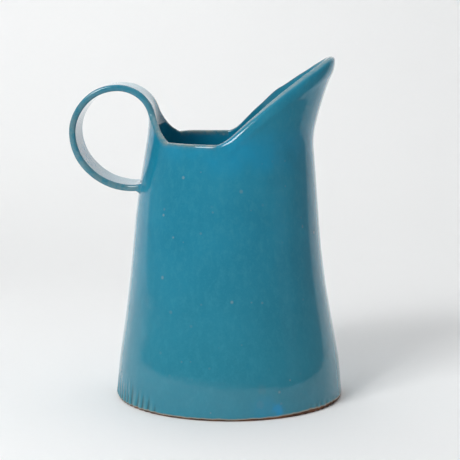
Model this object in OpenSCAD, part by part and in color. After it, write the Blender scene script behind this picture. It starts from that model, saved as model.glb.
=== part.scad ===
// Slab-built ceramic pitcher: a cone wall on a flat base, a scooped spout that
// rises and leans forward from the front of the rim, and a looped strap handle
// that grows out of a raised shoulder at the back of the rim.
// +Z is up, +X is the spout side, the origin is the centre of the base.

/* [Body] */
// Outer diameter of the foot
base_d = 130.8; // [124:0.2:138]
// Outer diameter at the rim
rim_d = 94.2; // [90:0.2:98]
// Height of the level part of the rim
rim_z = 149.1; // [147:0.1:151]
// Thickness of the rolled wall slab
wall_t = 3.6; // [3:0.1:4.4]
// Thickness of the base slab
floor_t = 4.2; // [3.5:0.1:6]
// How far the wall curves in from a straight cone at mid height
waist = 1; // [0:0.1:2]
// Radius of the clay coil smoothed into the inside corner
coil_r = 5; // [3:0.5:8]

/* [Spout] */
// Height of the spout's tip
tip_z = 194.7; // [188:0.1:200]
// Depth below the rim at which the spout and the handle's shoulder are joined on
seam_depth = 8; // [5:0.5:10]
// Distance behind the axis at which the lip leaves the level rim
lip_start = 4; // [0:0.5:8]
// Forward lean of the spout where it leaves the rim, in mm per mm of height
lean = 0.26; // [0.1:0.01:0.4]
// Extra lean gained with height, in mm per mm squared
lean_gain = 0.0024; // [0:0.0002:0.004]
// Narrowing of the spout's radius, in mm per mm of height
taper = 0.06; // [0:0.01:0.1]
// Height over which the lip rounds off at the tip
tip_round = 7; // [4:0.5:9]
// Thickness of the wall at the tip's lip
tip_t = 5.2; // [4.4:0.1:6]
// Distance of the lip's crest from the outer face at the tip
tip_in = 4; // [3:0.1:4.2]

/* [Handle] */
// Width of the strap
strap_w = 28.4; // [24:0.2:32]
// Thickness of the strap
strap_t = 3.7; // [3.2:0.1:4.4]
// Half width of the raised shoulder where it leaves the level rim
shoulder_y = 33.5; // [31:0.5:35]
// Height at which the shoulder stops and the strap begins to bend back
bend_z = 155.4; // [154:0.1:157]
// Height at which the strap has narrowed to its full-length width
neck_z = 164; // [162:0.5:166]
// Height of the middle of the strap's lower joint
pad_z = 121.5; // [120.5:0.1:122.5]
// Thickness of the clay pad that joins the strap's lower end to the wall
pad_t = 2.6; // [2:0.1:4]

/* [Hidden] */

glaze = [0.18, 0.48, 0.58];
clay = [0.62, 0.48, 0.36];

base_r = base_d/2;
rim_r = rim_d/2;
lip_r = wall_t/2;
seam_z = rim_z - seam_depth;
wall_steps = 24;
fine = 144;

// Outer radius of the cone wall at height z, continued upward past the rim
function body_r(z) =
    base_r + (rim_r - base_r)*z/rim_z - waist*pow(sin(180*min(z, rim_z)/rim_z), 2);

// Point of a cubic Bezier curve at t
function bezier(p, t) =
    pow(1 - t, 3)*p[0] + 3*pow(1 - t, 2)*t*p[1] + 3*(1 - t)*t*t*p[2] + t*t*t*p[3];

function mix(a, b, t) = a + (b - a)*t;

// Closed skin over a row of rings that all have n points, open at both ends
function skin(rings, n) = [for (i = [0:rings - 2], j = [0:n - 1])
    let (k = (j + 1)%n) each [[i*n + j, i*n + k, (i + 1)*n + k],
                              [i*n + j, (i + 1)*n + k, (i + 1)*n + j]]];

// ---- Base and body ----

// Solid of revolution between two heights, inset from the wall's outer face
module round_solid(z0, z1, inset = 0) {
    side = [for (i = [0:wall_steps])
        let (z = mix(z0, z1, i/wall_steps)) [body_r(z) - inset, z]];
    rotate_extrude($fn = fine)
        polygon(concat([[0, z0]], side, [[0, z1]]));
}

// Wedge of the plan between two angles, wider than the pitcher
module wedge(from, to, z0, z1) {
    reach = 2*base_r;
    edge = [for (i = [0:6]) let (a = mix(from, to, i/6)) reach*[cos(a), sin(a)]];
    translate([0, 0, z0])
        linear_extrude(z1 - z0)
            polygon(concat([[0, 0]], edge));
}

module base_slab() {
    edge_r = 1.2;
    edge = [for (a = [-90:15:0])
        [body_r(edge_r) - edge_r + edge_r*cos(a), edge_r + edge_r*sin(a)]];
    color(clay)
        rotate_extrude($fn = fine)
            polygon(concat([[0, 0]], edge, [[body_r(floor_t), floor_t], [0, floor_t]]));
}

// Coil with a hollow face, smoothed into the corner of the base and the wall
module floor_coil() {
    corner = body_r(floor_t) - wall_t;
    face = [for (a = [270:15:360])
        [corner - coil_r + coil_r*cos(a), floor_t + coil_r + coil_r*sin(a)]];
    color(glaze)
        intersection() {
            rotate_extrude($fn = fine)
                polygon(concat(face, [[corner + 1, floor_t + coil_r], [corner + 1, floor_t]]));
            round_solid(floor_t, seam_z, wall_t);
        }
}

// Cone wall with a rounded rim, cut down to the seam where the spout and shoulder sit
module body_wall() {
    heights = [for (i = [0:wall_steps]) mix(floor_t, rim_z - lip_r, i/wall_steps)];
    outer = [for (z = heights) [body_r(z), z]];
    inner = [for (i = [wall_steps:-1:0]) [body_r(heights[i]) - wall_t, heights[i]]];
    top_r = body_r(rim_z - lip_r) - lip_r;
    rim = [for (a = [15:15:165]) [top_r + lip_r*cos(a), rim_z - lip_r + lip_r*sin(a)]];
    color(glaze)
        difference() {
            rotate_extrude($fn = fine)
                polygon(concat(outer, rim, inner));
            wedge(-spout_angle, spout_angle, seam_z, rim_z + 1);
            wedge(shoulder_angle, 360 - shoulder_angle, seam_z, rim_z + 1);
        }
}

// ---- Spout ----

// Radius of the spout's round section at height z
function spout_r(z) = z < rim_z ? body_r(z) : rim_r - taper*(z - rim_z);

// Forward shift of the section at height z
function spout_shift(z) =
    let (h = max(z - rim_z, 0)) lean*h + lean_gain*h*h;

// Extra shift at plan angle a that rounds the bend between the wall and the spout
function spout_bend(z, a) =
    let (u = max(0, min(2*seam_depth, z - seam_z)), h = max(0, min(seam_depth, z - rim_z)))
    lean*(u*u/(4*seam_depth) - h)*cos(90*a/spout_angle);

// Side view of the lip's top line, from the level rim to the tip, as [x, z]
lip_line = [[-lip_start, rim_z], [6, rim_z + 1.5], [15, rim_z + 20.4],
            [spout_shift(tip_z) + spout_r(tip_z) - tip_in, tip_z]];
spout_angle = acos(-lip_start/(rim_r - lip_r));
spout_rings = 26;
spout_rows = 12;
lip_rows = 6;

// Share of its size at the tip that the lip's roll has at share t of the lip line
function roll_share(t) = 1 - pow(1 - t, 3);

// Closed outline of the spout's wall at share t of the lip line, as [inset, z]
function spout_outline(t) =
    let (top = bezier(lip_line, t)[1],
         grow = roll_share(t),
         drop = mix(lip_r, tip_round, grow),
         inset = mix(lip_r, tip_in, grow),
         thick = mix(wall_t, tip_t, grow),
         drop_in = thick - inset)
    concat(
        [for (i = [0:spout_rows]) [0, mix(seam_z, top - drop, i/spout_rows)]],
        [for (i = [1:lip_rows]) let (a = 90*i/lip_rows)
            [inset*(1 - cos(a)), top - drop*(1 - sin(a))]],
        [for (i = [1:lip_rows]) let (a = 90*i/lip_rows)
            [inset + drop_in*sin(a), top - drop_in*(1 - cos(a))]],
        [for (i = [spout_rows - 1:-1:0]) let (s = i/spout_rows)
            [mix(wall_t, thick, s), mix(seam_z, top - drop_in, s)]]);

// Plan angle of the wall at share t of the lip line
function spout_turn(t) =
    let (p = bezier(lip_line, t), inset = mix(lip_r, tip_in, roll_share(t)))
    acos(max(-1, min(1, (p[0] - spout_shift(p[1]))/(spout_r(p[1]) - inset))));

module spout() {
    outline_points = 2*spout_rows + 2*lip_rows + 1;
    ring_count = 2*spout_rings + 1;
    points = [for (k = [-spout_rings:spout_rings])
        let (t = 1 - pow(abs(k)/spout_rings, 2), a = sign(k)*spout_turn(t))
        for (q = spout_outline(t))
            let (r = spout_r(q[1]) - q[0], shift = spout_shift(q[1]) + spout_bend(q[1], a))
            [shift + r*cos(a), r*sin(a), q[1]]];
    first = [for (j = [outline_points - 1:-1:0]) j];
    last = [for (j = [0:outline_points - 1]) (ring_count - 1)*outline_points + j];
    color(glaze)
        polyhedron(points, concat(skin(ring_count, outline_points), [first, last]),
                   convexity = 4);
}

// ---- Handle ----

shoulder_angle = 180 - asin(shoulder_y/(rim_r - lip_r));

// Half width of the raised shoulder and the strap's root at height z
function shoulder_half(z) =
    let (share = max(0, min(1, (neck_z - z)/(neck_z - rim_z))))
    mix(strap_w/2, shoulder_y, pow(share, 1.5));

// Part of the cone wall that rises behind the rim and narrows to the strap
module handle_shoulder() {
    outline_steps = 8;
    wide = base_r;
    right = [for (i = [0:outline_steps])
        let (z = mix(rim_z, bend_z, i/outline_steps)) [shoulder_half(z), z]];
    left = [for (i = [outline_steps:-1:0]) [-right[i][0], right[i][1]]];
    outline = concat([[-wide, seam_z], [wide, seam_z], [wide, rim_z]], right, left,
                     [[-wide, rim_z]]);
    color(glaze)
        intersection() {
            difference() {
                round_solid(seam_z, bend_z);
                round_solid(seam_z - 1, bend_z + 1, wall_t);
            }
            wedge(shoulder_angle, 360 - shoulder_angle, seam_z, bend_z);
            rotate([90, 0, -90])
                linear_extrude(2*base_r)
                    polygon(outline);
        }
}

// The strap's centre line in the XZ plane is a chain of arcs, each [radius, sweep]
strap_arcs = [[20.2, 101], [27, 60], [23.4, 36.4], [32.4, 58.1], [38.7, 24]];
arc_steps = 14;
wall_lean = 84;
pad_r = body_r(pad_z) + pad_t;

// Points [x, z, heading] along a chain of arcs that starts at p with heading a
function arc_chain(p, a, arcs, k = 0) =
    k == len(arcs) ? [] :
    let (r = arcs[k][0], sweep = arcs[k][1],
         seg = [for (i = [1:arc_steps]) let (b = a + sweep*i/arc_steps)
             [p[0] + r*(sin(b) - sin(a)), p[1] + r*(cos(a) - cos(b)), b]],
         end = seg[arc_steps - 1])
    concat(seg, arc_chain(end, end[2], arcs, k + 1));

// Wall's outer (side = 1) or inner (side = -1) face radius at the root of the strap
function root_r(side) = body_r(bend_z) - (side > 0 ? 0 : wall_t);
function root_x(side, y) = -sqrt(pow(root_r(side), 2) - y*y);

// Headings between which the strap's cross-section flattens from the wall's curve
curl_from = 90;
curl_to = 150;
function curl(heading) =
    let (share = max(0, min(1, (heading - curl_from)/(curl_to - curl_from))))
    (1 + cos(180*share))/2;

module handle_strap() {
    across = 8;
    half = strap_w/2;
    start = [(root_x(1, half) + root_x(-1, half))/2, bend_z];
    line = arc_chain(start, wall_lean, strap_arcs);
    shares = concat([for (j = [0:across]) [1, 2*j/across - 1]],
                    [for (j = [across:-1:0]) [-1, 2*j/across - 1]]);
    n = len(shares);
    root = [for (q = shares) let (y = q[1]*shoulder_half(bend_z)) [root_x(q[0], y), y, bend_z]];
    body = [for (i = [0:len(line) - 2], q = shares)
        let (p = line[i],
             width = i < arc_steps ? shoulder_half(p[1]) : half,
             y = q[1]*width,
             bow = curl(p[2])*(root_x(q[0], y) - root_x(q[0], half)))
        [p[0] - q[0]*strap_t/2*sin(p[2]) + bow, y, p[1] + q[0]*strap_t/2*cos(p[2])]];
    foot = line[len(line) - 1];
    end = [for (q = shares) let (y = q[1]*half)
        [-sqrt(pad_r*pad_r - y*y), y, foot[1] + q[0]*strap_t/2]];
    rings = len(line) + 1;
    top = (rings - 1)*n;
    caps = [for (j = [0:across - 1]) each [
        [j + 1, j, n - 1 - j], [j + 1, n - 1 - j, n - 2 - j],
        [top + j, top + j + 1, top + n - 1 - j],
        [top + j + 1, top + n - 2 - j, top + n - 1 - j]]];
    color(glaze)
        polyhedron(concat(root, body, end), concat(skin(rings, n), caps), convexity = 4);
}

// Thumbed band of clay round the wall that the strap's lower end is pressed into
module handle_pad() {
    low = pad_z - 5;
    high = pad_z + 5;
    half = 17;
    color(glaze)
        intersection() {
            difference() {
                rotate_extrude($fn = fine)
                    polygon([[rim_r - 5, low], [body_r(low), low], [pad_r, low + 2.4],
                             [pad_r, high - 2], [body_r(high), high], [rim_r - 5, high]]);
                round_solid(floor_t, rim_z - lip_r);
            }
            translate([-2*rim_r, -half, low])
                cube([rim_r, 2*half, high - low]);
        }
}

base_slab();
floor_coil();
body_wall();
spout();
handle_shoulder();
handle_strap();
handle_pad();
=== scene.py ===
import math

import bmesh
import bpy
import numpy as np
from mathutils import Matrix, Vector, noise


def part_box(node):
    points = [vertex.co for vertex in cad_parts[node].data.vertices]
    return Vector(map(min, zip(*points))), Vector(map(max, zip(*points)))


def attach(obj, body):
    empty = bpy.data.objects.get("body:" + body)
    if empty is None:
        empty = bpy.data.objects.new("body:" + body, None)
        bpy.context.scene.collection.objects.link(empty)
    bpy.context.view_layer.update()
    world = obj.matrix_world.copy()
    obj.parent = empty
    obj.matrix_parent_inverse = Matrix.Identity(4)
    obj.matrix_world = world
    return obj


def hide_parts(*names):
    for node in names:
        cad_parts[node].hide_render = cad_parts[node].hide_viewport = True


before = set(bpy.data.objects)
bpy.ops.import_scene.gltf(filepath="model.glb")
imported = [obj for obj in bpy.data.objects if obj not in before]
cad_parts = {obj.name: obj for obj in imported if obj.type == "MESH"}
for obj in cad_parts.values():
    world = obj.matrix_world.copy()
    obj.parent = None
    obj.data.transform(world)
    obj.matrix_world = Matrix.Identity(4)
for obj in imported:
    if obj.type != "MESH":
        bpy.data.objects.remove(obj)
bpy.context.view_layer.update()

# ---------------------------------------------------------------- dimensions, in mm

MM = 0.001


def node_box(node):
    """A CAD node's lowest and highest corners, in mm."""
    low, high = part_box(node)
    return np.array(low) / MM, np.array(high) / MM


FLOOR_T = node_box("base_slab")[1][2]
RIM_Z = node_box("body_wall")[1][2]
TIP_Z = node_box("spout")[1][2]
SEAM_Z = node_box("spout")[0][2]
BEND_Z = node_box("handle_shoulder")[1][2]
PAD_LOW = node_box("handle_pad")[0][2]
PAD_HIGH = node_box("handle_pad")[1][2]

BASE_R = 65.4
RIM_R = 47.1
WAIST = 1.0
WALL_T = 3.6
LIP_R = WALL_T / 2
COIL_R = 5.0

SEAM_DEPTH = RIM_Z - SEAM_Z
LIP_START = 4.0
LEAN = 0.26
LEAN_GAIN = 0.0024
TAPER = 0.06
TIP_ROUND = 8.5
TIP_T = 5.6
TIP_IN = 4.8

STRAP_HALF = 14.2
STRAP_T = 3.7
SHOULDER_Y = 31.8
NECK_Z = 164.0
STRAP_ARCS = [(20.2, 101), (27, 60), (23.4, 36.4), (32.4, 58.1), (38.7, 24)]
WALL_LEAN = 84
CURL_FROM, CURL_TO = 90, 150
PAD_T = 2.6
PAD_SPREAD = 3.4
PAD_WORN = 0.15

# Share of a right angle's sine that rounds an edge: 1 is a true round, less is squarer
EDGE_POWER = 0.8

MID_R = RIM_R - LIP_R
SPOUT_ANGLE = math.acos(-LIP_START / MID_R)
SHOULDER_ANGLE = math.pi - math.asin(SHOULDER_Y / MID_R)


def body_r(z):
    """Outer radius of the cone wall, continued upward past the rim."""
    curve = np.sin(np.pi * np.minimum(z, RIM_Z) / RIM_Z) ** 2
    return BASE_R + (RIM_R - BASE_R) * z / RIM_Z - WAIST * curve


def mid_r(z):
    return body_r(z) - WALL_T / 2


def bezier(points, t):
    p0, p1, p2, p3 = (np.array(p) for p in points)
    t = np.asarray(t)[..., None]
    return (1 - t) ** 3 * p0 + 3 * (1 - t) ** 2 * t * p1 + 3 * (1 - t) * t**2 * p2 + t**3 * p3


def mix(a, b, t):
    return a + (b - a) * t


# ---------------------------------------------------------------- hand-made irregularity

# noise_vector takes its offsets from the clock unless a seed is set, so the wobble needs one
WOBBLE_SEED = 1795006872
noise.seed_set(WOBBLE_SEED)

# Slow sway and fine ripple of the clay: how far each moves a point, and its size
SWAY, SWAY_SIZE = 0.45, 70
RIPPLE, RIPPLE_SIZE = 0.07, 14
# How far the wall bows backwards halfway up
BOW = 1.4

FLUTE_PITCH = 4.8
FLUTE_DEPTH = 0.34
# Where round the foot the fluting lies: middle and half width in degrees, and height in mm
FLUTED = [(205, 34, 17), (328, 15, 7)]
FLUTE_STRAY = 3.4

# How far the foot swells out at its sides and at its front, and higher up under the spout
FOOT_SWELL = (0.5, 1.1)
SPOUT_SIDE_SWELL = 0.6
FOOT_TOP = 90
# How far the foot's edge tucks in under the spout
FOOT_TUCK = 0.3

# How far the back of the wall and the loop stray backwards
WALL_PULL, WALL_PULL_Z = 0.85, 108
LOOP_PULL = 0.35

# How much higher the far rim and the loop's crown stand, and where along X
FAR_RIM_RISE, FAR_RIM_X = 0.55, -27
CROWN_RISE, CROWN_X = 0.45, -76


def bump(x, middle, width):
    """A smooth hump, 1 at its middle, that fades out over about twice its width."""
    return math.exp(-(((x - middle) / width) ** 2))


def noise_at(p, size, seed=0.0):
    """Smooth noise of about -1 to 1 with features of the given size in mm."""
    return noise.noise(Vector((p[0] / size + seed, p[1] / size - seed, p[2] / size)))


def flute(p):
    """Depth of the foot's fluting at a point, from -1 in a groove to 1 on a ridge."""
    angle = math.degrees(math.atan2(p[1], p[0])) % 360
    total = 0.0
    for middle, half, height in FLUTED:
        side = max(0.0, 1 - ((angle - middle) / half) ** 2)
        tall = height * (0.35 + 0.65 * side) * (1 + 0.35 * noise_at((angle, 0, 0), 4, 8.8))
        total += min(1.0, 3 * side) * max(0.0, 1 - p[2] / tall) ** 0.8
    across = math.radians(angle) * BASE_R
    across += FLUTE_STRAY * noise_at((across, 0, p[2] * 0.3), 11, 3.1)
    return total * math.cos(2 * math.pi * across / FLUTE_PITCH)


def foot_swell(way, height):
    """How far the foot swells out, most at the front, and higher up on the spout's side."""
    front, spout_side = max(0, -way[1]), max(0, way[0])
    low = mix(*FOOT_SWELL, front) * bump(height, 21, 14)
    high = SPOUT_SIDE_SWELL * spout_side * bump(height, 36, 26)
    return (low + high) * min(1, (FOOT_TOP - height) / 20)


def back_pull(p):
    """How far the back of the wall and the handle's loop stray backwards."""
    wall = min(1, max(0, -p[0] / 45), max(0, (p[0] + 78) / 18))
    loop = min(1, max(0, (-p[0] - 60) / 25))
    return WALL_PULL * wall * bump(p[2], WALL_PULL_Z, 28) + LOOP_PULL * loop


def handmade(points):
    """Moves points the way a hand-built wall strays from its true form."""
    out = np.array(points, float)
    for i, p in enumerate(out):
        height = max(p[2], 0)
        radius = math.hypot(p[0], p[1])
        sway = noise.noise_vector(Vector(p) / SWAY_SIZE)
        ripple = noise.noise_vector(Vector(p) / RIPPLE_SIZE)
        # Points on the floor stay on it
        level = np.array((1, 1, 0.6 * min(1.0, height / 6)))
        shift = (SWAY * np.array(sway) + RIPPLE * np.array(ripple)) * level
        shift[0] -= BOW * math.sin(math.pi * min(height / RIM_Z, 1)) + back_pull(p)
        if p[1] > 0 and height > 100:
            rise = FAR_RIM_RISE * bump(p[0], FAR_RIM_X, 9)
            shift[2] += rise * min(1, (height - 100) / 20)
        if p[0] < -55:
            shift[2] += CROWN_RISE * bump(p[0], CROWN_X, 12)
        if height < FOOT_TOP and radius > 50:
            out_by = foot_swell(p / radius, height) + FLUTE_DEPTH * flute(p)
            shift[:2] += p[:2] / radius * out_by
            shift[0] -= FOOT_TUCK * max(0, p[0] / radius) * bump(height, 0, 12)
        out[i] += shift
    return out


# ---------------------------------------------------------------- mesh building


def add_layer(mesh, name, values):
    """A named value for each of the mesh's points, which the glaze reads."""
    mesh.attributes.new(name, "FLOAT", "POINT").data.foreach_set("value", values)


def make_piece(name, points, faces, node, material, thin=None):
    """One closed, smooth-shaded piece that rides on root and stands for a CAD node."""
    mesh = bpy.data.meshes.new(name)
    mesh.from_pydata([tuple(p) for p in handmade(points) * MM], [], faces)
    add_layer(mesh, "thin", np.zeros(len(points)) if thin is None else thin)
    add_layer(mesh, "flute", [flute(p) if p[2] < 30 else 0.0 for p in points])
    work = bmesh.new()
    work.from_mesh(mesh)
    bmesh.ops.recalc_face_normals(work, faces=work.faces)
    if work.calc_volume(signed=True) < 0:
        bmesh.ops.reverse_faces(work, faces=work.faces)
    work.to_mesh(mesh)
    work.free()
    mesh.shade_smooth()
    mesh.set_sharp_from_angle(angle=math.radians(50))
    piece = bpy.data.objects.new(name, mesh)
    bpy.context.scene.collection.objects.link(piece)
    mesh.materials.append(material)
    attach(piece, "root")
    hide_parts(node)


class Shell:
    """A thick wall made of upright columns, each with an outer and an inner face."""

    def __init__(self):
        self.points, self.thin, self.columns = [], [], []

    def column(self, outer, inner, thin_out, thin_in, closed):
        """Adds a column; a closed one has its two faces joined in one point at the top."""
        start = len(self.points)
        count = len(outer)
        self.points += [*outer, *(inner[:-1] if closed else inner)]
        self.thin += [*thin_out, *(thin_in[:-1] if closed else thin_in)]
        left = list(range(start, start + count))
        right = list(range(start + count, start + 2 * count - closed))
        self.columns.append((left, right + left[-1:] if closed else right, closed))

    def faces(self, ring):
        made = []
        pairs = list(zip(self.columns, self.columns[1:] + self.columns[:1]))
        for (ao, ai, a_shut), (bo, bi, b_shut) in pairs if ring else pairs[:-1]:
            n = min(len(ao), len(bo))
            for i in range(n - 1):
                made.append([ao[i], bo[i], bo[i + 1], ao[i + 1]])
                made.append([ai[i + 1], bi[i + 1], bi[i], ai[i]])
            made.append([ai[0], bi[0], bo[0], ao[0]])
            cap = [ao[n - 1], bo[n - 1], bi[n - 1], ai[n - 1]]
            cap = list(dict.fromkeys(cap))
            if len(cap) > 2:
                made.append(cap)
            for (o, s), turn in (((ao, ai), 1), ((bo, bi), -1)):
                for i in range(n - 1, len(o) - 1):
                    made.append(self.side(o, s, i)[::turn])
        if not ring:
            for (o, s, shut), turn in ((self.columns[0], -1), (self.columns[-1], 1)):
                made += [self.side(o, s, i)[::turn] for i in range(len(o) - 1)]
        return made

    @staticmethod
    def side(o, s, i):
        return list(dict.fromkeys([o[i], o[i + 1], s[i + 1], s[i]]))


def revolve(profile, turns):
    """Points and faces of a closed [radius, z] outline turned about the Z axis."""
    points, rows = [], []
    for r, z in profile:
        if r == 0:
            rows.append([len(points)] * turns)
            points.append((0, 0, z))
            continue
        rows.append(list(range(len(points), len(points) + turns)))
        for k in range(turns):
            a = 2 * math.pi * k / turns
            points.append((r * math.cos(a), r * math.sin(a), z))
    faces = []
    for low, high in zip(rows, rows[1:] + rows[:1]):
        for k in range(turns):
            m = (k + 1) % turns
            face = list(dict.fromkeys([low[k], low[m], high[m], high[k]]))
            if len(face) > 2:
                faces.append(face)
    return np.array(points), faces


def edge_thickness(away, half, reach):
    """Half thickness of a wall at a distance from its rounded edge."""
    share = np.clip(1 - np.asarray(away) / reach, 0, 1)
    turn = np.arccos(share ** (1 / EDGE_POWER))
    return half * np.sin(turn) ** EDGE_POWER


def wear(away, reach):
    """How thin the glaze lies at a distance from an edge, from 0 to 1; it also places the darkened
    olive that paints shade along edges.
    """
    return np.exp(-((np.asarray(away) / reach) ** 2))


ROUND_STEPS = 9
ROUND_TURNS = np.linspace(90, 0, ROUND_STEPS + 1)[1:]
# Distances from the edge of the rows that round it, as shares of the rounding's reach
ROUND_ROWS = 1 - np.sin(np.radians(90 - ROUND_TURNS)) ** EDGE_POWER
ROUND_ROWS[-1] = 0


def sector(start, end, count):
    return np.linspace(start, end, count + 1)


SPOUT_ANGLES = sector(-SPOUT_ANGLE, SPOUT_ANGLE, 240)

# ---------------------------------------------------------------- body


def plan(radius, angle, z):
    radius, z = np.broadcast_arrays(radius, z)
    return np.stack([radius * math.cos(angle), radius * math.sin(angle), z], -1)


def body_shell(shoulder_angles):
    shell = Shell()
    foot_top = 24
    low = np.linspace(FLOOR_T, foot_top, 25)
    rise = np.concatenate([low, np.linspace(foot_top, SEAM_Z, 44)[1:]])
    top = np.linspace(SEAM_Z, RIM_Z - LIP_R, 6)[1:]
    full = np.concatenate([rise, top, RIM_Z - LIP_R * ROUND_ROWS])
    half = edge_thickness(RIM_Z - full, LIP_R, LIP_R)
    level = sector(SPOUT_ANGLE, SHOULDER_ANGLE, 90)

    def cut(angle):
        radius = body_r(rise)
        shell.column(plan(radius, angle, rise), plan(radius - WALL_T, angle, rise),
                     0 * rise, 0 * rise, False)

    def whole(angle):
        middle = mid_r(full)
        shell.column(plan(middle + half, angle, full), plan(middle - half, angle, full),
                     0.8 * wear(RIM_Z - full, 1.3), 0.9 * wear(RIM_Z - full, 2), True)

    for angle in SPOUT_ANGLES[1:-1]:
        cut(angle)
    for angle in level:
        whole(angle)
    for angle in shoulder_angles[1:-1]:
        cut(angle)
    for angle in 2 * math.pi - level[::-1]:
        whole(angle)
    return shell


# ---------------------------------------------------------------- spout


def spout_r(z):
    return np.where(z < RIM_Z, body_r(z), RIM_R - TAPER * (z - RIM_Z))


def spout_shift(z):
    rise = np.maximum(z - RIM_Z, 0)
    return LEAN * rise + LEAN_GAIN * rise**2


def spout_bend(z, angle):
    """Extra shift that rounds the bend between the wall and the spout."""
    u = np.clip(z - SEAM_Z, 0, 2 * SEAM_DEPTH)
    rise = np.clip(z - RIM_Z, 0, SEAM_DEPTH)
    return LEAN * (u**2 / (4 * SEAM_DEPTH) - rise) * math.cos(math.pi / 2 * angle / SPOUT_ANGLE)


def roll_share(t):
    """Share of its size at the tip that the lip's roll has at share t of the lip line."""
    return 1 - (1 - t) ** 3


LIP_LINE = [(-LIP_START, RIM_Z), (6, RIM_Z + 1.5), (15, RIM_Z + 20.4),
            (float(spout_shift(TIP_Z) + spout_r(TIP_Z)) - TIP_IN, TIP_Z)]


def lip_table():
    """The lip line's share, plan angle and height, from the level rim to the tip."""
    t = np.linspace(0, 1, 800)
    x, z = bezier(LIP_LINE, t).T
    inset = mix(LIP_R, TIP_IN, roll_share(t))
    turn = np.arccos(np.clip((x - spout_shift(z)) / (spout_r(z) - inset), -1, 1))
    return t, turn, z


# How far the hand-cut lip wanders, and how much higher its tip stands
LIP_STRAY = 0.9
TIP_RISE = 0.5
# Where the far lip stands higher: by how much, at which share of its line, and how widely
FAR_LIP_RISES = [(1.3, 0.45, 0.2), (1.9, 0.65, 0.11)]
# The roll's tighter ridge midway up: its roundness, and where it is and how wide
RIDGE_POWER, RIDGE_AT, RIDGE_WIDTH = 0.5, 0.66, 0.2
# Hollow just below the tip's roll
ROLL_HOLLOW, ROLL_HOLLOW_WIDTH = 0.45, 3.5


def lip_wobble(t, angle):
    """Height by which the hand-cut lip strays from its line; its far side stands higher."""
    fade = min(1, 5 * t) * min(1, 4 * (1 - t))
    far = 0
    if angle > 0:
        far = sum(rise * bump(t, middle, width) for rise, middle, width in FAR_LIP_RISES)
    stray = LIP_STRAY * noise_at((angle * 40, 0, 0), 7, 7.7)
    return fade * (far + stray) + TIP_RISE * bump(t, 1, 0.06)


def spout_shell():
    shell = Shell()
    share, turn, height = lip_table()
    bend = np.radians(90 - ROUND_TURNS)
    in_in = 1 - np.cos(bend) ** EDGE_POWER
    in_up = np.sin(bend) ** EDGE_POWER
    rows = np.linspace(0, 1, 50)
    for angle in SPOUT_ANGLES:
        t = np.interp(-abs(angle), -turn, share)
        grow = roll_share(t)
        top = np.interp(t, share, height)
        top += lip_wobble(t, angle)
        drop = mix(LIP_R, TIP_ROUND, grow)
        inset = mix(LIP_R, TIP_IN, grow)
        thick = mix(WALL_T, TIP_T, grow)
        drop_in = thick - inset
        # Midway up, the roll's outer side has a tighter ridge
        power = mix(EDGE_POWER, RIDGE_POWER, bump(t, RIDGE_AT, RIDGE_WIDTH))
        out_in, out_up = 1 - np.cos(bend) ** power, np.sin(bend) ** power
        outer_z = np.concatenate([mix(SEAM_Z, top - drop, rows), top - drop * (1 - out_up)])
        outer_in = np.concatenate([0 * rows, inset * out_in])
        below = (top - outer_z - TIP_ROUND) / ROLL_HOLLOW_WIDTH
        outer_in -= ROLL_HOLLOW * grow * np.exp(-(below**2))
        inner_z = np.concatenate([mix(SEAM_Z, top - drop_in, rows), top - drop_in * (1 - in_up)])
        inner_in = np.concatenate([mix(WALL_T, thick, rows), thick - drop_in * in_in])

        def face(z, into):
            spot = plan(spout_r(z) - into, angle, z)
            spot[:, 0] += spout_shift(z) + spout_bend(z, angle)
            return spot

        shell.column(face(outer_z, outer_in), face(inner_z, inner_in),
                     0.4 * wear(top - outer_z, 0.5), 0.65 * wear(top - inner_z, 0.8), True)
    return shell


# ---------------------------------------------------------------- handle


def shoulder_half(z):
    """Half width of the raised shoulder and the strap's root at height z."""
    share = np.clip((NECK_Z - z) / (NECK_Z - RIM_Z), 0, 1)
    return mix(STRAP_HALF, SHOULDER_Y, share**1.35)


def shoulder_edge():
    """The shoulder's side edge as [arc length from the back, z], on the unrolled wall."""
    z = np.linspace(RIM_Z, NECK_Z, 160)
    arc = mid_r(z) * np.arcsin(shoulder_half(z) / mid_r(z))
    level = np.stack([np.linspace(arc[0] + 12, arc[0], 20), np.full(20, RIM_Z)], -1)
    return np.concatenate([level, np.stack([arc, z], -1)])


SHOULDER_EDGE = shoulder_edge()
# Share of the half width at which each of the strap's lengthwise lines lies
EDGE_SHARE = 0.15
STRAP_LINES = np.concatenate([
    -1 + EDGE_SHARE * ROUND_ROWS[::-1],
    np.linspace(-1 + EDGE_SHARE, 1 - EDGE_SHARE, 81),
    1 - EDGE_SHARE * ROUND_ROWS])
ROOT_HALF = float(shoulder_half(BEND_Z))


def to_edge(arc, z):
    """Distance on the unrolled wall from a point to the shoulder's edge."""
    gap = SHOULDER_EDGE[None] - np.stack([np.abs(arc), z], -1)[:, None]
    return np.sqrt((gap**2).sum(-1)).min(1)


def shoulder_turns():
    """Angles from the back of the wall at which the shoulder's columns stand."""
    inner = np.arcsin(STRAP_LINES * ROOT_HALF / mid_r(BEND_Z))
    outer = np.linspace(inner[-1], math.pi - SHOULDER_ANGLE, 22)[1:]
    return np.concatenate([-outer[::-1], inner, outer])


SHOULDER_TURNS = shoulder_turns()
SHOULDER_ANGLES = math.pi + SHOULDER_TURNS
# Rows of points up the shoulder, below those that round its edge
SHOULDER_ROWS = 23


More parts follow.
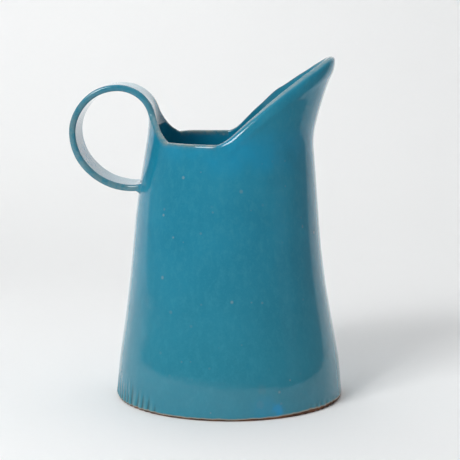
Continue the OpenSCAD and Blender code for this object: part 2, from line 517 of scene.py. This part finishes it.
def shoulder_shell():
    shell = Shell()
    heights = np.linspace(RIM_Z, BEND_Z, 200)
    reach = np.arcsin(shoulder_half(heights) / mid_r(heights))
    root = abs(SHOULDER_TURNS) <= abs(reach[-1]) + 1e-9
    for turn, open_top in zip(SHOULDER_TURNS, root):
        top = BEND_Z if open_top else np.interp(-abs(turn), -reach, heights)
        at_edge = not open_top or abs(abs(turn) - reach[-1]) < 1e-6
        if open_top:
            z = np.linspace(SEAM_Z, top, SHOULDER_ROWS + ROUND_STEPS)
        else:
            slope = min(4.2, 2.2 + (top - RIM_Z) * 0.4)
            z = np.concatenate([np.linspace(SEAM_Z, top - slope, SHOULDER_ROWS + 1)[:-1],
                                top - slope * ROUND_ROWS])
        away = to_edge(mid_r(z) * turn, z)
        if at_edge:
            away[-1] = 0
        half = edge_thickness(away, LIP_R, LIP_R)
        angle = math.pi + turn
        middle = mid_r(z)
        shell.column(plan(middle + half, angle, z), plan(middle - half, angle, z),
                     0.6 * wear(away, 1.5), 0.8 * wear(away, 1.5), at_edge)
    return shell


def strap_path(steps):
    """Points [x, z, heading] of the strap's centre line from the shoulder to the wall."""
    def root(radius):
        return -math.sqrt(radius**2 - STRAP_HALF**2)
    radius = float(body_r(BEND_Z))
    x, z, heading = (root(radius) + root(radius - WALL_T)) / 2, BEND_Z, math.radians(WALL_LEAN)
    path = [(x, z, heading)]
    for r, sweep in STRAP_ARCS:
        for i in range(1, steps + 1):
            b = heading + math.radians(sweep) * i / steps
            path.append((x + r * (math.sin(b) - math.sin(heading)),
                         z + r * (math.cos(heading) - math.cos(b)), b))
        x, z, heading = path[-1]
    return np.array(path)


# Steps along each of the strap's arcs, and those that sink its end into the pad
ARC_STEPS = 26
TAIL_STEPS = 6
# Steps from the root over which the glaze is worn, and how worn the edge is, least and most
ROOT_WORN_STEPS = 14
STRAP_WORN = (0.12, 0.38)


def strap_mesh():
    path = strap_path(ARC_STEPS)
    x, z, heading = path.T
    tail = np.linspace(0, 1, TAIL_STEPS + 1)[1:, None]
    end = np.array([-float(body_r(z[-1])) + 1.2, z[-1] + 0.5, heading[-1]])
    path = np.concatenate([path, mix(path[-1], end, tail)])
    x, z, heading = path.T
    first = len(path) - TAIL_STEPS
    width = np.full(len(path), STRAP_HALF)
    width[:ARC_STEPS + 1] = shoulder_half(z[:ARC_STEPS + 1])
    width[first - 8:] += np.linspace(0, 1.0, len(path) - first + 8)
    flat = np.clip((np.degrees(heading) - CURL_FROM) / (CURL_TO - CURL_FROM), 0, 1)
    curl = (1 + np.cos(np.pi * flat)) / 2
    middle_r = float(mid_r(BEND_Z))
    side = width[:, None] * STRAP_LINES[None]
    bow = -np.sqrt(middle_r**2 - side**2) + math.sqrt(middle_r**2 - STRAP_HALF**2)
    middle = np.stack([x[:, None] + curl[:, None] * bow, side, z[:, None] + 0 * side], -1)
    along = np.gradient(middle, axis=0)
    across = np.gradient(middle, axis=1)
    normal = np.cross(along, across)
    normal /= np.linalg.norm(normal, axis=-1, keepdims=True)
    radial = np.stack([-np.cos(np.arcsin(side[0] / middle_r)), side[0] / middle_r, 0 * side[0]], -1)
    if (normal[0] * radial).sum() < 0:
        normal = -normal
    blend = np.clip(np.arange(len(path)) / 5, 0, 1)[:, None, None]
    normal = mix(radial[None], normal, blend)
    normal /= np.linalg.norm(normal, axis=-1, keepdims=True)
    spread = np.gradient(width, np.concatenate([[0], np.cumsum(np.hypot(np.diff(x), np.diff(z)))]))
    away = (width[:, None] - abs(side)) / np.sqrt(1 + spread[:, None] ** 2)
    arc = middle_r * np.arcsin(side[0] / middle_r)
    near = to_edge(arc, np.full(len(arc), BEND_Z))
    near[[0, -1]] = 0
    away = mix(near[None], away, blend[..., 0])
    half = edge_thickness(away, STRAP_T / 2, LIP_R)
    lower_part = np.clip((np.degrees(heading) - 190) / 60, 0, 1)[:, None]
    near_root = 1 - np.minimum(1, np.arange(len(path))[:, None] / ROOT_WORN_STEPS)
    worn = mix(*STRAP_WORN, np.maximum(lower_part, near_root)) * wear(away, 1.6)
    half[0] *= WALL_T / STRAP_T
    upper = middle + normal * half[..., None]
    lower = middle - normal * half[..., None]
    n = len(STRAP_LINES)
    points = np.concatenate([upper, lower[:, 1:-1][:, ::-1]], 1)
    ring = points.shape[1]
    thin = np.concatenate([worn, worn[:, 1:-1][:, ::-1]], 1)
    faces = []
    for i in range(len(path) - 1):
        for j in range(ring):
            k = (j + 1) % ring
            faces.append([i * ring + j, i * ring + k, (i + 1) * ring + k, (i + 1) * ring + j])
    for base in (0, (len(path) - 1) * ring):
        for j in range(n - 1):
            cap = [base + j, base + j + 1, base + (ring - j - 1) % ring, base + (ring - j) % ring]
            faces.append(list(dict.fromkeys(cap)))
    return points.reshape(-1, 3), faces, thin.ravel()


def pad_mesh():
    """Clay smoothed out round the strap's lower end, thick at the strap and thin at its rim."""
    strap_z = strap_path(4)[-1][1] + 0.3
    half_y = STRAP_HALF + PAD_SPREAD + 1
    ys = np.linspace(-half_y, half_y, 120)
    zs = np.linspace(strap_z - PAD_SPREAD - 3, strap_z + PAD_SPREAD + 3, 60)
    points, thin = [], []
    for y in ys:
        for z in zs:
            beyond_y = max(abs(y) - STRAP_HALF, 0)
            beyond_z = max(abs(z - strap_z) - STRAP_T / 2 + 0.4, 0)
            away = math.hypot(beyond_y, beyond_z * (2.0 if z > strap_z else 1.0))
            reach = PAD_SPREAD * (0.85 + 0.35 * noise_at((0, y, z), 7, 1.7))
            swell = 1 + 0.5 * bump(abs(y), STRAP_HALF, 2.5)
            height = PAD_T * swell * max(0.0, 1 - away / reach) ** 2.0
            radius = float(body_r(z)) + height - 0.25
            angle = math.pi - math.asin(y / radius)
            points.append((radius * math.cos(angle), y, z))
            thin.append(PAD_WORN)
    n = len(zs)
    count = len(points)
    for y in ys:
        for z in zs:
            radius = float(body_r(z)) - 0.8
            angle = math.pi - math.asin(y / radius)
            points.append((radius * math.cos(angle), y, z))
            thin.append(0)
    faces = []
    for i in range(len(ys) - 1):
        for j in range(n - 1):
            a = i * n + j
            quad = [a, a + 1, a + n + 1, a + n]
            faces += [quad, [count + q for q in quad[::-1]]]
    border = [i * n for i in range(len(ys))]
    border += [(len(ys) - 1) * n + j for j in range(1, n)]
    border += [i * n + n - 1 for i in range(len(ys) - 2, -1, -1)]
    border += list(range(n - 2, 0, -1))
    for a, b in zip(border, border[1:] + border[:1]):
        faces.append([a, b, count + b, count + a])
    return np.array(points), faces, np.array(thin)


# ---------------------------------------------------------------- materials


class Nodes:
    """Short helpers for building one material's node tree."""

    def __init__(self, name):
        self.material = bpy.data.materials.new(name)
        self.material.use_nodes = True
        self.tree = self.material.node_tree
        self.tree.nodes.clear()

    def add(self, kind, **settings):
        node = self.tree.nodes.new(kind)
        for key, value in settings.items():
            setattr(node, key, value)
        return node

    def put(self, socket, value):
        if isinstance(value, bpy.types.NodeSocket):
            self.tree.links.new(value, socket)
        else:
            socket.default_value = value

    def math(self, operation, a, b=0.0):
        node = self.add("ShaderNodeMath", operation=operation)
        self.put(node.inputs[0], a)
        self.put(node.inputs[1], b)
        return node.outputs[0]

    def ramp(self, value, low, high, start=0.0, end=1.0):
        node = self.add("ShaderNodeMapRange", interpolation_type="SMOOTHSTEP")
        for socket, setting in zip(node.inputs, (value, low, high, start, end)):
            self.put(socket, setting)
        return node.outputs[0]

    def blend(self, share, a, b):
        node = self.add("ShaderNodeMix", data_type="RGBA")
        self.put(node.inputs["Factor"], share)
        self.put(node.inputs[6], a)
        self.put(node.inputs[7], b)
        return node.outputs[2]

    def noise(self, place, size, detail=2.0, roughness=0.5):
        """Noise of 0 to 1 with features of the given size in mm."""
        node = self.add("ShaderNodeTexNoise")
        self.put(node.inputs["Vector"], place)
        self.put(node.inputs["Scale"], 1 / (size * MM))
        self.put(node.inputs["Detail"], detail)
        self.put(node.inputs["Roughness"], roughness)
        return node.outputs["Fac"]

    def spots(self, place, size):
        """Distance to the nearest scattered point and that point's random colour."""
        node = self.add("ShaderNodeTexVoronoi")
        self.put(node.inputs["Vector"], place)
        self.put(node.inputs["Scale"], 1 / (size * MM))
        return node.outputs["Distance"], node.outputs["Color"]


MAIN_BLUE = (0.013, 0.213, 0.323, 1)
DEEP_BLUE = (0.008, 0.184, 0.285, 1)
PALE_BLUE = (0.028, 0.240, 0.330, 1)
LOW_TEAL = (0.018, 0.195, 0.268, 1)
RICH_BLUE = (0.003, 0.235, 0.410, 1)
POOL_BLUE = (0.000, 0.240, 0.470, 1)
GROOVE_TEAL = (0.006, 0.095, 0.120, 1)
RIDGE_TEAL = (0.090, 0.290, 0.320, 1)
# Olive where the glaze breaks over edges, darkened so it also paints shade: the dark reflection
# under the edges' rounding
OLIVE_BREAK_AND_SHADE = (0.075, 0.150, 0.135, 1)
TAN = (0.380, 0.340, 0.260, 1)
SPECK_TAN = (0.300, 0.240, 0.170, 1)
BROWN_CLAY = (0.190, 0.075, 0.035, 1)
DARK_CLAY = (0.075, 0.032, 0.018, 1)


def on_wall(angle, z):
    """Place on the wall's outer face at a plan angle in degrees and a height in mm."""
    radius, turn = float(body_r(z)), math.radians(angle)
    return [radius * math.cos(turn) * MM, radius * math.sin(turn) * MM, z * MM]


# Marks low on the front: place, radius in mm, colour and strength
MARKS = [(on_wall(291, 5), 11, RICH_BLUE, 0.35), (on_wall(298, 5), 5, POOL_BLUE, 0.95),
         (on_wall(290, 17), 4, SPECK_TAN, 0.06), (on_wall(289, 9), 3, SPECK_TAN, 0.06)]


def glaze_material(name, bare_foot=False):
    n = Nodes(name)
    place = n.add("ShaderNodeTexCoord").outputs["Object"]
    split = n.add("ShaderNodeSeparateXYZ")
    n.put(split.inputs[0], place)
    height = split.outputs["Z"]
    thin = n.add("ShaderNodeAttribute", attribute_name="thin").outputs["Fac"]
    wave = n.add("ShaderNodeAttribute", attribute_name="flute").outputs["Fac"]

    cloud = n.noise(place, 30, 3)
    # The mottling is drawn out a little downhill, as the glaze ran
    runs = n.add("ShaderNodeVectorMath", operation="MULTIPLY")
    n.put(runs.inputs[0], place)
    runs.inputs[1].default_value = (1, 1, 0.65)
    mottle = n.noise(runs.outputs[0], 3.6, 4, 0.65)
    grain = n.noise(place, 1.1, 2)
    colour = n.blend(n.ramp(cloud, 0.30, 0.70), DEEP_BLUE, MAIN_BLUE)
    colour = n.blend(n.ramp(height, 0.015, 0.110, 0.75, 0), colour, LOW_TEAL)
    colour = n.blend(n.ramp(mottle, 0.42, 0.75, 0, 0.50), colour, PALE_BLUE)
    colour = n.blend(n.ramp(mottle, 0.26, 0.44, 0.40, 0), colour, DEEP_BLUE)
    colour = n.blend(n.ramp(grain, 0.45, 0.75, 0, 0.22), colour, PALE_BLUE)

    # Thicker, richer glaze gathers in a band just under the rim
    level = n.math("ABSOLUTE", n.math("SUBTRACT", height, (RIM_Z - 5) * MM))
    rich = n.math("MULTIPLY", n.ramp(level, 0.002, 0.016, 0.75, 0), n.ramp(cloud, 0.3, 0.7))
    colour = n.blend(rich, colour, RICH_BLUE)

    # Small tan specks where the clay's iron shows through, and dull pinholes
    distance, chance = n.spots(place, 5.5)
    chosen = n.add("ShaderNodeSeparateColor")
    n.put(chosen.inputs[0], chance)
    size = n.math("MULTIPLY", n.math("POWER", chosen.outputs[1], 2.0), 0.14)
    speck = n.ramp(n.math("SUBTRACT", distance, size), 0.0, 0.13, 1, 0)
    speck = n.math("MULTIPLY", speck, chosen.outputs[2])
    crowd = n.math("SUBTRACT", 0.85, n.math("MULTIPLY", cloud, 0.45))
    speck = n.math("MULTIPLY", speck, n.math("GREATER_THAN", chosen.outputs[0], crowd))
    colour = n.blend(n.math("MULTIPLY", speck, 0.29), colour, SPECK_TAN)

    # Streaks in the foot's fluting, and the marks low on the front
    colour = n.blend(n.ramp(wave, 0.1, 0.9, 0, 0.6), colour, RIDGE_TEAL)
    colour = n.blend(n.ramp(wave, -0.7, -0.1, 0.9, 0), colour, GROOVE_TEAL)
    ragged = n.math("MULTIPLY", n.math("SUBTRACT", mottle, 0.5), 0.008)
    for spot, radius, tint, strength in MARKS:
        away = n.add("ShaderNodeVectorMath", operation="DISTANCE")
        n.put(away.inputs[0], place)
        away.inputs[1].default_value = spot
        reach = n.math("ADD", away.outputs["Value"], ragged)
        colour = n.blend(n.ramp(reach, 0.3 * radius * MM, radius * MM, strength, 0), colour, tint)

    # The glaze runs thin over edges and breaks to olive and tan; the olive is darkened so it also
    # paints shade, the dark reflection along the edges' undersides
    worn = n.math("MULTIPLY", thin, n.ramp(n.noise(place, 3.2, 3, 0.7), 0.30, 0.62))
    colour = n.blend(n.math("MULTIPLY", thin, 0.75), colour, OLIVE_BREAK_AND_SHADE)
    colour = n.blend(n.math("MULTIPLY", worn, 0.55), colour, TAN)

    rough = n.ramp(grain, 0.3, 0.7, 0.06, 0.11)
    rough = n.math("MAXIMUM", rough, n.math("MULTIPLY", speck, 0.4))

    if bare_foot:
        ragged = n.noise(place, 6, 3)
        line = n.math("MULTIPLY_ADD", ragged, 0.0016)
        # The clay shows widest on the spout's side
        n.put(line.node.inputs[2], n.ramp(split.outputs["X"], 0.005, 0.055, 0.0002, 0.0013))
        bare = n.ramp(n.math("SUBTRACT", line, height), -0.00012, 0.00012)
        fringe = n.ramp(n.math("SUBTRACT", line, height), -0.0011, 0.0)
        clay = n.blend(n.ramp(n.noise(place, 9, 4), 0.35, 0.7), DARK_CLAY, BROWN_CLAY)
        colour = n.blend(n.math("MULTIPLY", fringe, 0.9), colour, TAN)
        colour = n.blend(bare, colour, clay)
        rough = n.math("MAXIMUM", rough, n.math("MULTIPLY", bare, 0.85))

    shader = n.add("ShaderNodeBsdfPrincipled")
    n.put(shader.inputs["Base Color"], colour)
    n.put(shader.inputs["Roughness"], rough)
    shader.inputs["IOR"].default_value = 1.52
    shader.inputs["Specular IOR Level"].default_value = 0.5

    peel = n.noise(place, 2.6, 2, 0.4)
    relief = n.math("MULTIPLY_ADD", mottle, 0.6)
    n.put(relief.node.inputs[2], peel)
    relief = n.math("SUBTRACT", relief, n.math("MULTIPLY", speck, 0.7))
    bump = n.add("ShaderNodeBump")
    bump.inputs["Strength"].default_value = 0.35
    bump.inputs["Distance"].default_value = 0.00012
    n.put(bump.inputs["Height"], relief)
    n.put(shader.inputs["Normal"], bump.outputs[0])
    out = n.add("ShaderNodeOutputMaterial")
    n.put(out.inputs[0], shader.outputs[0])
    return n.material


def paper_material(name, shine=0.0):
    """Matt white paper; a shine makes it glow behind the pitcher as painted light and paints its
    front dark grey as painted shade, which lift and dim its reflection.
    """
    n = Nodes(name)
    place = n.add("ShaderNodeTexCoord").outputs["Object"]
    fibre = n.noise(place, 3, 2)
    colour = n.blend(fibre, (0.865, 0.875, 0.875, 1), (0.89, 0.895, 0.89, 1))
    split = n.add("ShaderNodeSeparateXYZ")
    n.put(split.inputs[0], place)
    if shine:
        # Painted shade: the sheet's front is blended towards dark grey so it reads dark in
        # reflections
        far = n.ramp(split.outputs["Y"], -0.75, -0.25, 0.85, 0)
        colour = n.blend(far, colour, (0.25, 0.25, 0.25, 1))
    shader = n.add("ShaderNodeBsdfPrincipled")
    n.put(shader.inputs["Base Color"], colour)
    shader.inputs["Roughness"].default_value = 0.9
    shader.inputs["Specular IOR Level"].default_value = 0.2
    if shine:
        # Painted light: the paper glows though it is no lamp, most behind the pitcher and near the
        # middle
        shader.inputs["Emission Color"].default_value = (0.95, 1.0, 1.0, 1)
        aside = n.ramp(n.math("ABSOLUTE", split.outputs["X"]), 0.05, 0.60, shine, 0)
        behind = n.ramp(split.outputs["Y"], 0.0, 0.3)
        n.put(shader.inputs["Emission Strength"], n.math("MULTIPLY", aside, behind))
    out = n.add("ShaderNodeOutputMaterial")
    n.put(out.inputs[0], shader.outputs[0])
    return n.material


# ---------------------------------------------------------------- pieces

glaze = glaze_material("turquoise_glaze")
foot_glaze = glaze_material("glazed_foot", bare_foot=True)


def build_base():
    rim = float(body_r(2.0))
    side = [(rim - 1.3, 0.0), (rim - 0.75, 0.25), (rim - 0.45, 0.7), (rim - 0.35, 1.1),
            (rim - 0.02, 1.6), (rim + 0.05, 2.1), (float(body_r(2.8)) + 0.05, 2.8),
            (float(body_r(3.5)), 3.5), (float(body_r(FLOOR_T)), FLOOR_T)]
    under = [(r, 0.0) for r in (0, 15, 30, 42, 52, 58, 61.5)]
    top = [(r, FLOOR_T) for r in (63, 60, 56, 50, 42, 32, 20, 10, 0)]
    points, faces = revolve(under + side + top, 720)
    make_piece("base_slab_fired", points, faces, "base_slab", foot_glaze)


def build_coil():
    """Coil in the inside corner, its hollow face stopping where it meets the wall."""
    corner = float(body_r(FLOOR_T)) - WALL_T
    face = []
    for a in np.radians(np.linspace(270, 360, 25)):
        r, z = corner + COIL_R * (math.cos(a) - 1), FLOOR_T + COIL_R * (math.sin(a) + 1)
        if r > float(body_r(z)) - WALL_T - 0.05:
            break
        face.append((r, z))
    back = [(float(body_r(z)) - WALL_T, z) for z in np.linspace(face[-1][1] + 0.3, FLOOR_T, 6)]
    points, faces = revolve(face + back, 288)
    make_piece("floor_coil_smoothed", points, faces, "floor_coil", glaze)


def build_shell(name, shell, node, ring=False):
    make_piece(name, np.array(shell.points), shell.faces(ring), node, glaze,
               thin=np.array(shell.thin))


build_base()
build_coil()
build_shell("body_wall_glazed", body_shell(SHOULDER_ANGLES), "body_wall", ring=True)
build_shell("spout_glazed", spout_shell(), "spout")
build_shell("handle_shoulder_glazed", shoulder_shell(), "handle_shoulder")
strap_points, strap_faces, strap_thin = strap_mesh()
make_piece("handle_strap_glazed", strap_points, strap_faces, "handle_strap", glaze,
           thin=strap_thin)
pad_points, pad_faces, pad_thin = pad_mesh()
make_piece("handle_pad_glazed", pad_points, pad_faces, "handle_pad", glaze,
           thin=pad_thin)

# ---------------------------------------------------------------- studio, in metres

SURROUND_R = 2.15
SURROUND_SIDES = 96


def build_sweep(name, sheet, left, right, front, back, bend, top, curl=0.0, waist=1.0):
    """Paper that lies under the pitcher and curves up behind it.

    Its front edge may curl up, and its front part may be narrower on the right.
    """
    line = [(front, curl), (0.8 * front, 0.3 * curl), (0.6 * front, 0.0)]
    narrow = len(line) + 1
    line += [(0.0, 0.0), (back - bend, 0.0)]
    line += [(back - bend + bend * math.sin(a), bend - bend * math.cos(a))
             for a in np.linspace(0, math.pi / 2, 25)[1:]]
    line += [(back, top)]
    points = []
    for i, (y, z) in enumerate(line):
        points += [(left, y, z), (right * waist if i < narrow else right, y, z)]
    faces = [[2 * i, 2 * i + 1, 2 * i + 3, 2 * i + 2] for i in range(len(line) - 1)]
    mesh = bpy.data.meshes.new(name)
    mesh.from_pydata(points, [], faces)
    mesh.shade_smooth()
    sweep = bpy.data.objects.new(name, mesh)
    mesh.materials.append(sheet)
    bpy.context.scene.collection.objects.link(sweep)
    return sweep


def build_surround():
    """Pale room wall that only the camera sees, beyond the edges of the paper."""
    points, faces = [], []
    for i in range(SURROUND_SIDES):
        turn = 2 * math.pi * i / SURROUND_SIDES
        x, y = SURROUND_R * math.cos(turn), SURROUND_R * math.sin(turn)
        points += [(x, y, 0), (x, y, SURROUND_R)]
        j = (i + 1) % SURROUND_SIDES
        faces.append([2 * i, 2 * j, 2 * j + 1, 2 * i + 1])
    mesh = bpy.data.meshes.new("room_wall")
    mesh.from_pydata(points, [], faces)
    mesh.shade_smooth()
    n = Nodes("pale_wall")
    glow = n.add("ShaderNodeEmission")
    glow.inputs["Color"].default_value = (0.78, 0.79, 0.79, 1)
    out = n.add("ShaderNodeOutputMaterial")
    n.put(out.inputs[0], glow.outputs[0])
    mesh.materials.append(n.material)
    wall = bpy.data.objects.new("room_wall", mesh)
    bpy.context.scene.collection.objects.link(wall)
    for rays in ("visible_diffuse", "visible_glossy", "visible_transmission", "visible_shadow"):
        setattr(wall, rays, False)


def area_light(name, place, target, size, power):
    data = bpy.data.lights.new(name, "AREA")
    data.shape = "RECTANGLE"
    data.size, data.size_y = size
    data.energy = power
    light = bpy.data.objects.new(name, data)
    light.location = place
    aim = Vector(target) - Vector(place)
    light.rotation_euler = aim.to_track_quat("-Z", "Y").to_euler()
    light.visible_camera = False
    bpy.context.scene.collection.objects.link(light)


def build_world():
    world = bpy.data.worlds.new("studio_room")
    bpy.context.scene.world = world
    world.use_nodes = True
    tree = world.node_tree
    tree.nodes.clear()
    place = tree.nodes.new("ShaderNodeTexCoord")
    split = tree.nodes.new("ShaderNodeSeparateXYZ")
    ramp = tree.nodes.new("ShaderNodeValToRGB")
    shine = tree.nodes.new("ShaderNodeBackground")
    out = tree.nodes.new("ShaderNodeOutputWorld")
    tree.links.new(place.outputs["Generated"], split.inputs[0])
    tree.links.new(split.outputs["Z"], ramp.inputs[0])
    tree.links.new(ramp.outputs[0], shine.inputs[0])
    tree.links.new(shine.outputs[0], out.inputs[0])
    # Grey of the room from the horizon up to straight overhead
    stops = [(0.0, 0.30), (0.15, 0.28), (0.40, 0.22), (0.75, 0.40), (1.0, 0.60)]
    elements = ramp.color_ramp.elements
    while len(elements) < len(stops):
        elements.new(0.5)
    for element, (position, grey) in zip(elements, stops):
        element.position = position
        element.color = (grey, grey, 1.02 * grey, 1)
    shine.inputs[1].default_value = 0.92


def build_camera():
    """The camera stands in front, a little to the spout's side, and looks slightly down."""
    azimuth, distance, height, pitch, lens = math.radians(4.0), 0.9195, 0.238, 8.80, 126.64
    data = bpy.data.cameras.new("studio_camera")
    data.lens = lens
    data.sensor_width = 36
    data.clip_start = 0.01
    camera = bpy.data.objects.new("studio_camera", data)
    camera.location = (distance * math.sin(azimuth), -distance * math.cos(azimuth), height)
    target = Vector((0, 0, height - distance * math.tan(math.radians(pitch))))
    aim = target - camera.location
    camera.rotation_euler = aim.to_track_quat("-Z", "Y").to_euler()
    bpy.context.scene.collection.objects.link(camera)
    bpy.context.scene.camera = camera


paper = paper_material("studio_paper")
glowing_reflected_paper = paper_material("paper_seen_in_gloss", shine=0.26)
# The eye sees a wide sweep, and the gloss reflects a narrower sheet standing for a real table,
# which glows with painted light behind the pitcher and is painted darker in front
wide_sweep = build_sweep("paper_sweep", paper, -2.2, 2.2, -2.2, 1.25, 0.5, 2.4)
wide_sweep.visible_glossy = False
small_sweep = build_sweep("paper_in_gloss", glowing_reflected_paper, -1.1, 0.60, -0.9, 0.46, 0.22, 1.2,
                          curl=0.07, waist=0.5)
small_sweep.location.z = 0.0002
small_sweep.visible_camera = False
small_sweep.visible_diffuse = False
small_sweep.visible_shadow = False
build_surround()
build_world()
build_camera()
area_light("key_softbox", (-0.75, -1.12, 1.05), (0, 0, 0.1), (0.62, 0.62), 18)
area_light("top_softbox", (0.0, 0.35, 1.8), (0, 0.2, 0), (1.6, 1.2), 6)
area_light("back_wash", (-0.8, 0.5, 1.3), (-0.45, 1.25, 1.4), (0.8, 0.8), 9)
area_light("right_strip", (1.5, -0.45, 0.5), (0, 0, 0.1), (0.5, 1.0), 0.12)
bpy.context.scene.view_settings.view_transform = "Standard"
